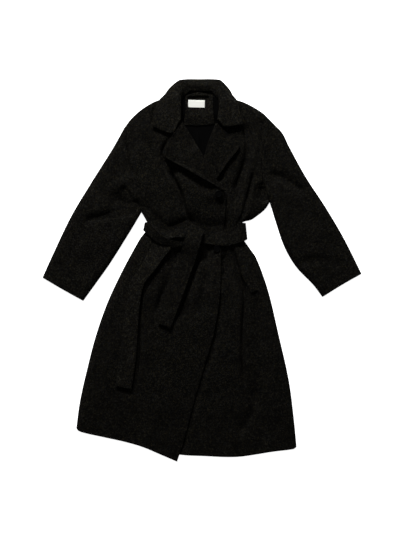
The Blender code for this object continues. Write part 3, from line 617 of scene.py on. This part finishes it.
def body_face(x, y, step, layer, side):
    """Face of a front: its loft, which passes into the sleeve's at the armhole, with the seam's groove."""
    armhole = np.abs(from_path(right_armhole if side == "right" else left_armhole, x, y)[0])
    loft = np.interp(y, *np.array(BODY_LOFT, float).T)
    full = SEAM_LOFT + (loft + step - SEAM_LOFT) * smoothstep(armhole, 0, ARMHOLE_BLEND)
    return rounded(x, y, full, layer, side) - SEAM_DIP[0] * np.exp(-((armhole / SEAM_DIP[1]) ** 2))


def front_step(y):
    """How far each front lies from the mean loft: less towards the hem, where one settles on the other."""
    return STEP * (HEM_STEP + (1 - HEM_STEP) * smoothstep(y, SETTLED, 0))


def outer_face(x, y):
    return body_face(x, y, front_step(y), "outer", "right")


CHART, CHART_X, CHART_Y = 4.0, 508, 608  # a square of the chart, and how far it goes each way


def charted(face):
    """A face's heights by look-up on squared paper, for what only has to follow it."""
    across, up = np.arange(-CHART_X, CHART_X + 1, CHART), np.arange(-CHART_Y, CHART_Y + 1, CHART)
    heights = face(*np.meshgrid(across, up, indexing="ij"))

    def look_up(x, y):
        column = np.clip((x - across[0]) / CHART, 0, len(across) - 1.001)
        row = np.clip((y - up[0]) / CHART, 0, len(up) - 1.001)
        k, m = column.astype(int), row.astype(int)
        u, v = column - k, row - m
        near_side = heights[k, m] * (1 - u) + heights[k + 1, m] * u
        far_side = heights[k, m + 1] * (1 - u) + heights[k + 1, m + 1] * u
        return near_side * (1 - v) + far_side * v

    return look_up


outer_chart = charted(outer_face)


def inner_face(x, y):
    """Face of the inner front, which gives way under the outer one."""
    face = body_face(x, y, -front_step(y), "inner", "left")
    covered = from_path(outer_free_edge, x, y)[0]
    under = covered > OVERLAP_FROM
    if under.any():
        sink = 1.3 * WOOL + LAID + COVERED_SINK * smoothstep(covered[under], 0, OVERLAP_REACH)
        covered_face = np.minimum(face[under], near(outer_chart, x[under], y[under], np.min) - sink)
        face[under] = np.maximum(covered_face, EDGE_TOP + near(lift, x[under], y[under], np.max))
    return face


inner_chart = charted(inner_face)
PAST_EDGE = -4  # what lies on the fronts is held up by the outer one as far as this past its edge


def coat_face(x, y):
    """The face that what lies on the fronts rests on: the outer one's where it is, elsewhere the inner's."""
    over = from_path(outer_free_edge, x, y)[0] > PAST_EDGE
    return np.where(over, outer_chart(x, y), inner_chart(x, y))


def over_back(x, y):
    """The lowest that a piece sewn to the back may lie."""
    return near(lift, x, y, np.max) + WOOL + SEAM


def turned_under(hem):
    """Underside of a panel whose hem is turned up inside, so that it is thicker there."""

    def underside(x, y, top):
        doubled = WOOL * 0.8 * (1 - smoothstep(np.abs(from_path(hem, x, y)[0]), *HEM))
        return np.maximum(top - 1.15 * WOOL - doubled, over_back(x, y))

    return underside


right_outline = cut_outline(
    outer_hem, cut_edge(OUTER_EDGE), inside_roll(OUTER_ROLL, OUTER_NORMAL), outer_neck,
    right_shoulder[::-1], right_armhole[::-1], right_side[::-1],
)
panel(
    "front_right", right_outline, outer_face, turned_under(outer_hem), wool, "wool",
    creases=creases_on("outer", "both"),
)
left_outline = cut_outline(
    inner_hem, left_side, left_armhole, left_shoulder, inner_neck[::-1],
    inside_roll(INNER_ROLL, INNER_NORMAL)[::-1], cut_edge(INNER_EDGE)[::-1],
)
panel(
    "front_left", left_outline, inner_face, turned_under(inner_hem), wool, "wool",
    creases=creases_on("inner", "both"),
)

# -------------------------------- sleeves
# Each sleeve is a top and an under piece of the coat's wool, sewn together along both edges and into the
# armhole. They spread out from the body, hollow, and open at the cuff, where the hem is turned up.

SLEEVE_LOFT = ((0, 18), (0.3, 20), (0.65, 18), (1, 14))  # share of the way from the cap to the cuff, height
SLEEVE_BLEND = 60.0  # over this distance from the armhole the sleeve gets its own loft
SEWN = 0.1  # the sleeve's edge is sewn close against the body's
cuffs = {
    "right": cut_edge(((-493, -22), (-430, -59), (-367, -94))),
    "left": cut_edge(((372, -82), (433, -44), (493, -10))),
}
SLEEVE_AXES = {  # the cap's centre and the cuff's
    "right": ((-215, 310), (-430, -58)),
    "left": ((200, 330), (433, -44)),
}


def sleeve(side, out):
    """A sleeve's two pieces. The way out of the body is -1 or 1 along X."""
    cap, cuff = np.array(SLEEVE_AXES[side], float)
    armhole = right_armhole if side == "right" else left_armhole

    def face(x, y):
        axis = cuff - cap
        share = ((x - cap[0]) * axis[0] + (y - cap[1]) * axis[1]) / (axis @ axis)
        loft = np.interp(share, *np.array(SLEEVE_LOFT).T)
        seam = np.abs(from_path(armhole, x, y)[0])
        full = SEAM_LOFT + (loft - SEAM_LOFT) * smoothstep(seam, 0, SLEEVE_BLEND)
        return rounded(x, y, full, "both", side) - SEAM_DIP[0] * np.exp(-((seam / SEAM_DIP[1]) ** 2))

    def outline(gap):
        outer_edge, inner_edge = sleeve_edges[f"{side}_outer"], sleeve_edges[f"{side}_inner"]
        cap_edge = armhole + gap * np.array((out, 0))
        if out < 0:
            return cut_outline(cuffs[side], inner_edge[::-1], cap_edge, outer_edge)
        return cut_outline(cuffs[side], outer_edge[::-1], cap_edge[::-1], inner_edge)

    panel(
        f"top_sleeve_{side}", outline(SEWN), face, turned_under(cuffs[side]), wool, "wool",
        creases=creases_on("both"),
    )
    panel(
        f"under_sleeve_{side}", outline(STAGGER[0] + SEWN), back_face, back_underside, wool, "wool",
        cells=24.0, cuts=2,
    )


sleeve("right", -1)
sleeve("left", 1)

# -------------------------------- lapels
# The facings fold round the fronts' edges along the roll lines and show as the lapels. They are the coat's
# wool with painted shade that makes it darker, soft at their turned edges, and stand a little off the coat.

# A darker copy of the coat's wool, with its colour scaled down: painted shade.
wool_painted_darker = coat_wool("felted wool melange painted darker", 0.8)
OUTER_LAPEL = ((57, 250), (46, 259), (-10, 291), (-66, 323), (-109, 347), (-114, 364), (-91, 416))
INNER_LAPEL = ((4, 262), (24, 264), (44, 284), (80, 335), (114, 378), (115, 388), (64, 437))
FACING_LEG = 16.0  # the facing goes on this far under the front
CURL_WIDTH = 9.0
CURL = (  # share of the edge's length, height that it curls by
    (0, 0), (0.15, 3), (0.6, 3.5), (0.72, 1), (0.8, -0.5), (1, -0.5),
)
LAPEL_ROWS = 56
LAPEL_STEPS = (3, 5, 5, 8, 6, 5, 5)  # from the leg under the front, round the roll, to the outer edge


def draped_grid(points, thickness, flip):
    """A sheet through rows and columns of points on its face, made solid under it, with soft turned edges."""
    points = np.asarray(points, float)
    rows, columns = points.shape[:2]
    sheet = bmesh.new()
    bmesh.ops.create_grid(sheet, x_segments=columns - 1, y_segments=rows - 1, size=1)
    for vertex in sheet.verts:
        column = round((vertex.co.x + 1) / 2 * (columns - 1))
        row = round((vertex.co.y + 1) / 2 * (rows - 1))
        vertex.co = points[row, column]
    if flip:
        bmesh.ops.reverse_faces(sheet, faces=sheet.faces)
    sheet.normal_update()
    bmesh.ops.solidify(sheet, geom=sheet.faces, thickness=thickness)
    for vertex in sheet.verts:
        vertex.co.z = max(vertex.co.z, 0)
    sharp = [edge for edge in sheet.edges if edge.is_manifold and edge.calc_face_angle() > math.radians(60)]
    bmesh.ops.bevel(
        sheet, geom=sharp, offset=thickness * 0.4, offset_type="OFFSET", segments=3, profile=0.5,
        affect="EDGES", clamp_overlap=True, material=-1,
    )
    return sheet


def draped(name, points, thickness, flip, finish):
    """A piece of wool that is laid in rows and columns of points."""
    finished(name, draped_grid(points, thickness, flip), finish, "wool")


def lapel(name, roll, tip, normal, face, stand_off, flip):
    """A lapel between its roll line and its outer edge, which stands off the coat by so much at its point."""
    roll_line, tip_line = smooth_line(roll, LAPEL_ROWS), smooth_line(tip, LAPEL_ROWS)
    out = tip_line - roll_line
    width = np.linalg.norm(out, axis=1, keepdims=True)
    start = np.minimum(ROLL_RADIUS, 0.45 * width)
    plans = [roll_line + np.array(normal) * reach for reach in (FACING_LEG, ROLL_RADIUS, 0)]
    plans += [roll_line + out / width * start]
    plans += [roll_line + out * share for share in (0.5, 0.78)]
    plans += [tip_line - out / width * np.minimum(CURL_WIDTH, 0.2 * width), tip_line]
    under = [near(face, *plan.T, np.min) - 2.4 * WOOL - LAID for plan in plans[:3]]
    over = [near(face, *plan.T, np.max) + LAID + WOOL for plan in plans]
    along = np.linspace(0, 1, LAPEL_ROWS)
    rise = stand_off * smoothstep(along, 0, 0.4)
    curl = np.interp(along, *np.array(CURL).T)
    rises = [over[3], over[4] + 0.3 * rise, over[5] + 0.6 * rise, over[6] + 0.8 * rise, over[7] + rise + curl]
    heights = [under[0], under[1], (under[2] + over[2]) / 2, *rises]
    sections = np.array([np.column_stack(pair) for pair in zip(plans, heights)])
    draped(name, spline(sections, LAPEL_STEPS).transpose(1, 0, 2), WOOL, flip, wool_painted_darker)


# Both lapels are in the darker copy of the wool: painted shade.
lapel("lapel_right", OUTER_ROLL, OUTER_LAPEL, OUTER_NORMAL, outer_chart, 7.0, True)
lapel("lapel_left", INNER_ROLL, INNER_LAPEL, INNER_NORMAL, inner_chart, 3.0, False)

# -------------------------------- collar
# Two layers of the coat's wool sewn as one, in a paler copy of the wool: painted light. It stands up round
# the neck, rolls over, and lies on the fronts with a point on each side. Behind, its fall goes down under the
# back panel.

# A paler copy of the coat's wool, with its colour scaled up: painted light.
wool_painted_paler = coat_wool("felted wool melange painted paler", 1.3)
COLLAR_MIDDLE = -6.0
COLLAR = (  # out from the middle, y, height: neck seam, roll's top, outside and far side, fall, edge
    ((57, 462, 10), (57, 465, 24), (60, 465, 29.5), (66, 457, 30.5), (87, 425, 28), (146, 445, 27)),
    ((58, 500, 10), (58, 506, 24), (63, 509, 29), (72, 508, 30), (100, 500, 27.5), (135, 488, 28)),
    ((56, 526, 11), (57, 536, 22), (62, 544, 26), (72, 546, 26), (98, 541, 24), (127, 524, 23.5)),
    ((41, 547, 14), (50, 566, 19), (58, 581, 21), (69, 583, 18), (97, 561, 11), (109, 541, 10)),
    ((34, 554, 14), (44, 572, 18), (54, 588, 17), (64, 587, 8), (92, 557, 1), (104, 531, 0)),
    ((22, 555, 14), (31, 575, 18), (41, 591, 9), (50, 580, 0), (72, 551, 0), (86, 503, 0)),
    ((0, 554, 14), (0, 575, 18), (0, 591, 9), (0, 580, 0), (0, 547, 0), (0, 498, 0)),
)
COLLAR_LEFT = {  # sections that are otherwise on the wearer's left
    0: ((53, 461, 10), (53, 464, 24), (56, 465, 29.5), (61, 459, 30.5), (74, 445, 28), (133, 451, 26)),
    1: ((58, 500, 10), (58, 506, 24), (63, 509, 29), (72, 508, 30), (94, 500, 27.5), (123, 488, 27)),
    2: ((56, 526, 11), (57, 536, 22), (62, 544, 26), (72, 546, 26), (92, 541, 24), (114, 524, 23.5)),
    3: ((41, 547, 14), (50, 566, 19), (58, 580, 21), (69, 579, 18), (92, 555, 11), (103, 538, 10)),
}
collar_right = np.array(COLLAR, float)
collar_left = np.array([COLLAR_LEFT.get(k, row) for k, row in enumerate(COLLAR)], float)
collar_right[..., 0] *= -1
collar_sections = np.concatenate([collar_right, collar_left[-2::-1]])
collar_sections[..., 0] += COLLAR_MIDDLE
COLLAR_STEPS = (9, 7, 7, 7, 7, 8, 8, 7, 7, 7, 7, 9)  # round the neck, from the right point to the left
FALL_STEPS = (5, 5, 5, 6, 10)  # from the neck seam to the outer edge
collar_rows = spline(collar_sections, COLLAR_STEPS)
collar_points = spline(collar_rows.transpose(1, 0, 2), FALL_STEPS).transpose(1, 0, 2)
draped("collar", collar_points, DOUBLED, True, wool_painted_paler)

# -------------------------------- back neck facing
# Where the fronts open, the inside of the back shows. A facing of the coat's wool is sewn round the back of
# the neck, over the lining.


def neck_panel(name, outline, finish, slot, height, thickness):
    """A flat piece that lies on the inside of the back, with its face at a height over that."""

    def face(x, y):
        return lift(x, y) + WOOL + LAID + height

    panel(
        name, outline, face, lambda x, y, top: top - thickness, finish, slot, cells=24.0, cuts=2
    )


facing_outline = cut_outline(
    cut_edge(((-58, 450), (-12, 447), (40, 452))), cut_edge(((40, 452), (37, 470), (35, 500), (35, 540))),
    cut_edge(((35, 540), (-6, 544), (-51, 540))), cut_edge(((-51, 540), (-51, 500), (-54, 470), (-58, 450))),
)
# The facing is in the paler copy of the wool: painted light.
neck_panel("back_neck_facing", facing_outline, wool_painted_paler, "wool", WOOL, WOOL)

# -------------------------------- lining
# A thin black viscose satin lining, as far as it shows in the V of the neck. It has a pleat down its
# centre, which gives room across the shoulders, and is sewn to the facing above.

# Satin's threads lie flat and close, so it is a smooth, even black with a soft sheen.
satin = plain_finish(
    "viscose satin lining", Base_Color=srgb("#020202"), Roughness=0.5, Specular_IOR_Level=0.02
)
lining_outline = np.array(((-28, 318), (34, 318), (54, 444), (54, 538), (-66, 538), (-66, 444)), float)
LINING = 0.6
LINING_PRESSED = 0.1  # the lining lies this much closer than other pieces
PLEAT = (2.6, -13.0, 5.0)  # height, place across and width of the centre pleat's fold
PLEAT_TOP, PLEAT_FADE = 440, 40  # the fold starts at the facing's lower edge


def pleated(x, y):
    """The lining's face with its centre pleat."""
    pleat = PLEAT[0] * np.exp(-(((x - PLEAT[1]) / PLEAT[2]) ** 2)) * smoothstep(PLEAT_TOP - y, 0, PLEAT_FADE)
    return lift(x, y) + WOOL + LAID - LINING_PRESSED + pleat


panel(
    "back_lining", lining_outline, pleated, lambda x, y, top: top - LINING, satin, "lining",
    cells=9.0, cuts=1,
)

# -------------------------------- label
# A label of pale woven polyester tape, left bare, a little off the middle of the neck. It is cut from a
# roll, its ends are turned under, and it is sewn flat on the facing.

# The tape's weave is too fine to show, so it is an even pale grey without gloss.
tape = plain_finish(
    "woven polyester tape", Base_Color=srgb("#d2d2cc"), Roughness=0.8, Specular_IOR_Level=0.3
)
LABEL_CENTRE, LABEL_SIZE, LABEL_TILT = np.array((-17.0, 514.5)), np.array((51.0, 22.5)), math.radians(-1.5)
TAPE = 0.9
tilt = np.array(((math.cos(LABEL_TILT), math.sin(LABEL_TILT)), (-math.sin(LABEL_TILT), math.cos(LABEL_TILT))))
label_outline = LABEL_CENTRE + (LABEL_SIZE / 2 * np.array(((-1, -1), (1, -1), (1, 1), (-1, 1)))) @ tilt
neck_panel("label", label_outline, tape, "tape", WOOL + SEAM + TAPE, TAPE)

# -------------------------------- hanger loop
# A narrow strip of the coat's wool, folded along and stitched. Both its ends are caught in the neck seam,
# and it stands off the facing a little between them.

LOOP = (  # x, y, height over the facing
    (-45, 539, 0.3), (-38, 541, 3), (-12, 547, 5), (14, 542, 3), (21, 540, 0.3),
)
LOOP_WIDTH, LOOP_THICKNESS = 6.0, 2.4
loop_route = spline(LOOP, 8)
loop_route[:, 2] += back_face(loop_route[:, 0], loop_route[:, 1]) + LAID + WOOL + LOOP_THICKNESS
loop_across = np.linspace(-LOOP_WIDTH / 2, LOOP_WIDTH / 2, 4)
loop_points = loop_route[:, None] + np.array((0, 1, 0)) * loop_across[:, None]
# The loop is in the paler copy of the wool: painted light.
finished(
    "hanger_loop", draped_grid(loop_points, LOOP_THICKNESS, True), wool_painted_paler, "wool",
)

# -------------------------------- belt
# One long strip of the coat's wool, folded along and turned, so that it is doubled. It goes round the waist
# under the back, and its two ends cross in a flat knot: one hangs over the other, and both lie on the
# skirt.

ON = DOUBLED + LAID  # height of a face that lies on the coat, then over one and two layers of the belt
OVER_ONE = 2 * ON
OVER_TWO = 3 * ON
UNDER_FOLD = LAID + 0.2
BELT = {  # x and y of one edge, then of the other, on the coat (1) or by the table (0), height over that
    "belt_right_stretch": (
        (-46, 80, -43, 92, 1, OVER_ONE), (-74, 76, -72, 89, 1, OVER_ONE), (-98, 77, -104, 96, 1, OVER_ONE),
        (-126, 81, -128, 112, 1, OVER_ONE), (-148, 93, -147, 130, 1, OVER_ONE + 0.5),
        (-162, 106, -160, 144, 0, 29), (-176, 119, -171, 146, 0, 23), (-182, 124, -177, 148, 0, 13),
        (-178, 124, -173, 149, 0, 2), (-160, 118, -158, 152, 0, 0), (-131, 109, -131, 155, 0, 0),
    ),
    "belt_left_stretch": (
        (-38, 83, -34, 108, 1, ON), (0, 84, 6, 108, 1, ON), (42, 79, 43, 117, 1, ON),
        (72, 76, 74, 126, 1, ON), (100, 82, 103, 135, 1, ON), (119, 87, 118, 141, 0, 28),
        (133, 92, 129, 144, 0, 23), (140, 97, 135, 146, 0, 13), (136, 100, 131, 147, 0, 2),
        (118, 103, 115, 149, 0, 0), (83, 105, 83, 152, 0, 0),
    ),
    "belt_back": ((-130, 109, -130, 155, 0, 0), (-20, 107, -20, 153, 0, 0), (82, 105, 82, 152, 0, 0)),
    "belt_long_end": (
        (-43, 132, -55, 101, 1, ON + 4), (-80, 121, -84, 102, 1, ON + 4), (-114, 107, -104, 92, 1, ON),
        (-149, 85, -97, 67, 1, ON), (-172, 44, -118, 40, 1, ON + 1), (-196, 2, -142, 6, 1, ON + 4),
        (-222, -38, -178, -42, 1, ON + 4), (-232, -101, -192, -110, 1, ON + 1),
        (-243, -170, -198, -189, 1, ON), (-256, -280, -204, -272, 1, ON), (-265, -357, -217, -366, 1, ON),
    ),
    "belt_short_end": (
        (-37, 126, 0, 114, 1, UNDER_FOLD), (-35, 134, 3, 119, 1, UNDER_FOLD),
        (-32, 145, 8, 124, 1, OVER_TWO / 2), (-36, 138, 5, 117, 1, OVER_TWO),
        (-46, 120, 1, 104, 1, OVER_TWO + 1), (-58, 80, -8, 74, 1, OVER_TWO), (-69, 42, -20, 34, 1, ON + 2),
        (-84, -5, -37, -14, 1, ON), (-108, -82, -64, -89, 1, ON), (-135, -163, -97, -177, 1, ON),
    ),
}
BELT_STEPS, BELT_COLUMNS, BELT_SMOOTHINGS = 8, 11, 8
BELT_TILT = {  # how much higher a stretch's second edge lies than its first
    "belt_right_stretch": 7.0, "belt_long_end": 3.0, "belt_short_end": 3.0,
}
TILT_ROWS = (4, 20)  # the tilt comes in over these rows
# The right stretch is in the darker copy of the wool (painted shade), and the long end and the back are in
# the paler copy (painted light).
BELT_WOOL = {"belt_right_stretch": wool_painted_darker, "belt_long_end": wool_painted_paler, "belt_back": wool_painted_paler}
for belt_name, belt_table in BELT.items():
    belt_rows = spline(belt_table, BELT_STEPS)
    belt_across = np.linspace(0, 1, BELT_COLUMNS)[None, :, None]
    belt_plan = belt_rows[:, None, 0:2] * (1 - belt_across) + belt_rows[:, None, 2:4] * belt_across
    belt_bed = near(coat_face, belt_plan[..., 0], belt_plan[..., 1], np.max)
    for _ in range(BELT_SMOOTHINGS):
        belt_bed[1:-1] = np.maximum((belt_bed[:-2] + 2 * belt_bed[1:-1] + belt_bed[2:]) / 4, belt_bed[1:-1])
    belt_height = belt_rows[:, None, 4] * belt_bed + belt_rows[:, None, 5]
    belt_tilt = BELT_TILT.get(belt_name, 0) * belt_across[..., 0] * belt_rows[:, None, 4]
    belt_height += belt_tilt * smoothstep(np.arange(len(belt_rows)), *TILT_ROWS)[:, None]
    belt_top = min(int(np.argmax(belt_height[:, 0])), len(belt_plan) - 2)
    corner = belt_plan[belt_top, 0]
    (ax, ay), (bx, by) = belt_plan[belt_top, -1] - corner, belt_plan[belt_top + 1, 0] - corner
    belt_flip = (ax * by - ay * bx < 0) == (belt_height[belt_top, 0] > DOUBLED)
    draped(
        belt_name, np.dstack([belt_plan, belt_height]), DOUBLED, belt_flip, BELT_WOOL.get(belt_name, wool),
    )

# -------------------------------- buttons
# Dark polished horn buttons, turned with a raised rim. One closes the fronts below the lapel, and one peeks
# out from under the belt.

BUTTONS = ((51, 236), (46, 67))
BUTTON_REACH = 8.0  # a button is seated on the highest cloth within this distance
BUTTON_PROFILE = ((0, 0), (9.2, 0), (10.5, 1.2), (10.5, 2.8), (9.6, 3.7), (8.4, 3.7), (7.5, 2.8), (0, 2.8))
# Polished horn is dense and dark, with a dull gloss along the rim.
horn = plain_finish("polished horn", Base_Color=srgb("#020202"), Roughness=0.45, Specular_IOR_Level=0.03)
for number, (button_x, button_y) in enumerate(BUTTONS, 1):
    turned = bmesh.new()
    profile = [turned.verts.new((radius, 0, height)) for radius, height in BUTTON_PROFILE]
    rim_edges = [turned.edges.new(pair) for pair in zip(profile, profile[1:])]
    bmesh.ops.spin(
        turned, geom=profile + rim_edges, cent=(0, 0, 0), axis=(0, 0, 1), angle=2 * math.pi, steps=48,
        use_merge=True,
    )
    bmesh.ops.remove_doubles(turned, verts=turned.verts, dist=1e-3)
    bmesh.ops.recalc_face_normals(turned, faces=turned.faces)
    highest = near(coat_face, np.array([button_x]), np.array([button_y]), np.max, BUTTON_REACH)
    seat = float(highest[0]) + SEAM
    bmesh.ops.translate(turned, verts=turned.verts, vec=(button_x, button_y, seat))
    button = finished(f"button_{number}", turned, horn, "horn")
    button.data.set_sharp_from_angle(angle=math.radians(35))

# -------------------------------- pocket welts
# A slanted pocket on each front. Its opening's edge is a narrow welt of the coat's wool, sewn down at both
# ends, which follows the folds that it lies in.

WELTS = {  # upper and lower end of the opening, and the side that the welt stands on
    "pocket_welt_left": ((110, 6), (152, -70), 1), "pocket_welt_right": ((-137, 8), (-179, -68), -1),
}
WELT_WIDTH = 22.0
WELT_REACH = 5.0
for welt_name, (welt_upper, welt_lower, welt_side) in WELTS.items():
    opening = smooth_line([welt_upper, welt_lower], 30)
    run = np.subtract(welt_lower, welt_upper) / np.linalg.norm(np.subtract(welt_lower, welt_upper))
    welt_across = np.array([-run[1], run[0]]) * welt_side * WELT_WIDTH
    welt_plan = opening[:, None] + welt_across * np.linspace(0, 1, 9)[None, :, None]
    welt_height = near(coat_face, welt_plan[..., 0], welt_plan[..., 1], np.max, WELT_REACH) + SEAM + WOOL
    draped(
        welt_name, np.dstack([welt_plan, welt_height]), WOOL, welt_side > 0, wool,
    )
